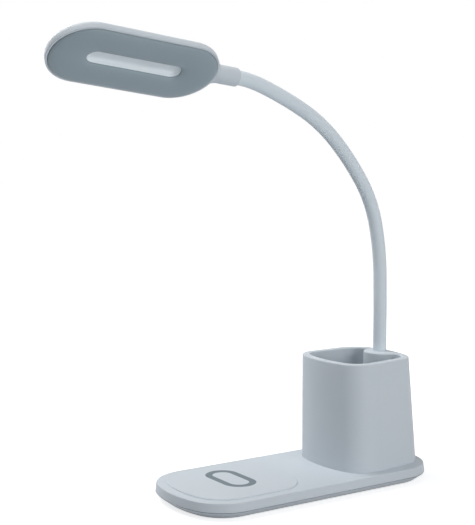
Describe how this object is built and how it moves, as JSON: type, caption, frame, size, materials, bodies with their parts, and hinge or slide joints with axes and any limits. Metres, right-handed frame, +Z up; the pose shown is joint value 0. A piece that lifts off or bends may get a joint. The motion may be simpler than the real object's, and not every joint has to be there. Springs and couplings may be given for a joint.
{
  "type": "desk lamp with pen cup",
  "caption": "Desk lamp with a low base, a raised charging pad, a pen cup at one end and a flexible neck that carries an obround lamp head.",
  "frame": {"origin": "on the table under the centre of the base, at the resting face", "axes": "+X along the base towards the pen cup, +Y to the back, +Z up"},
  "size_m": [0.3238, 0.1018, 0.3583],
  "materials": {
    "pale_shell": "satin moulded plastic",
    "grey_trim": "matte moulded plastic",
    "neck_rubber": "smooth soft sleeve",
    "milky_lens": "milky diffusing plastic",
    "mat_rubber": "matte anti-slip mat",
    "screw_steel": "zinc plated steel",
    "ballast_iron": "raw plate",
    "copper_coil": "enamelled copper",
    "ferrite_black": "dark matte",
    "board_green": "solder mask",
    "led_board_white": "white solder mask on aluminium",
    "led_chip": "yellow phosphor",
    "lead_jacket": "smooth jacket"
  },
  "bodies": {
    "root": {"base_top_shell": "pale_shell", "base_bottom_cover": "pale_shell", "base_mat": "mat_rubber", "base_screws": "screw_steel", "ballast_plate": "ballast_iron", "charging_pad": "pale_shell", "pad_ring": "grey_trim", "charging_coil": "copper_coil", "coil_ferrite": "ferrite_black", "coil_leads": "copper_coil", "control_board": "board_green", "board_components": "ferrite_black", "usb_inlet": "screw_steel", "touch_sensor": "copper_coil", "pen_cup": "pale_shell", "cup_screws": "screw_steel", "neck_ferrule_lower": "screw_steel", "neck_clamp_plate": "screw_steel", "clamp_screws": "screw_steel", "base_lead": "lead_jacket", "neck_sleeve_0": "neck_rubber", "neck_core_0": "screw_steel", "neck_lead_0": "lead_jacket"},
    "neck_1": {"neck_sleeve_1": "neck_rubber", "neck_core_1": "screw_steel", "neck_lead_1": "lead_jacket"},
    "neck_2": {"neck_sleeve_2": "neck_rubber", "neck_core_2": "screw_steel", "neck_lead_2": "lead_jacket"},
    "neck_3": {"neck_sleeve_3": "neck_rubber", "neck_core_3": "screw_steel", "neck_lead_3": "lead_jacket"},
    "neck_4": {"neck_sleeve_4": "neck_rubber", "neck_core_4": "screw_steel", "neck_lead_4": "lead_jacket"},
    "neck_5": {"neck_sleeve_5": "neck_rubber", "neck_core_5": "screw_steel", "neck_lead_5": "lead_jacket"},
    "neck_6": {"neck_sleeve_6": "neck_rubber", "neck_core_6": "screw_steel", "neck_lead_6": "lead_jacket"},
    "neck_7": {"neck_sleeve_7": "neck_rubber", "neck_core_7": "screw_steel", "neck_lead_7": "lead_jacket", "neck_ferrule_upper": "screw_steel", "swivel_clip": "screw_steel"},
    "head": {"head_shell": "pale_shell", "head_panel": "grey_trim", "light_lens": "milky_lens", "led_board": "led_board_white", "led_chips": "led_chip", "led_screws": "screw_steel", "head_lead": "lead_jacket"}
  },
  "joints": [
    {"name": "neck_bend_1", "type": "hinge", "parent": "root", "child": "neck_1", "pos_m": [0.0945, 0.007, 0.1225], "axis": [0, -1, 0], "range_deg": [-20, 18]},
    {"name": "neck_sway_2", "type": "hinge", "parent": "neck_1", "child": "neck_2", "pos_m": [0.09395, 0.007, 0.1645], "axis": [0.9997, 0, 0.0262], "range_deg": [-20, 20]},
    {"name": "neck_bend_3", "type": "hinge", "parent": "neck_2", "child": "neck_3", "pos_m": [0.08884, 0.007, 0.20612], "axis": [0, -1, 0], "range_deg": [-20, 18]},
    {"name": "neck_sway_4", "type": "hinge", "parent": "neck_3", "child": "neck_4", "pos_m": [0.07219, 0.007, 0.2444], "axis": [0.8241, 0, 0.5664], "range_deg": [-20, 20]},
    {"name": "neck_bend_5", "type": "hinge", "parent": "neck_4", "child": "neck_5", "pos_m": [0.04538, 0.007, 0.27664], "axis": [0, -1, 0], "range_deg": [-20, 15]},
    {"name": "neck_sway_6", "type": "hinge", "parent": "neck_5", "child": "neck_6", "pos_m": [0.01174, 0.007, 0.30154], "axis": [0.4695, 0, 0.8829], "range_deg": [-20, 20]},
    {"name": "neck_bend_7", "type": "hinge", "parent": "neck_6", "child": "neck_7", "pos_m": [-0.02646, 0.007, 0.31894], "axis": [0, -1, 0], "range_deg": [-15, 10]},
    {"name": "head_twist", "type": "hinge", "parent": "neck_7", "child": "head", "pos_m": [-0.05063, 0.007, 0.32508], "axis": [-0.9914, 0, 0.1305], "range_deg": [-90, 55]}
  ]
}
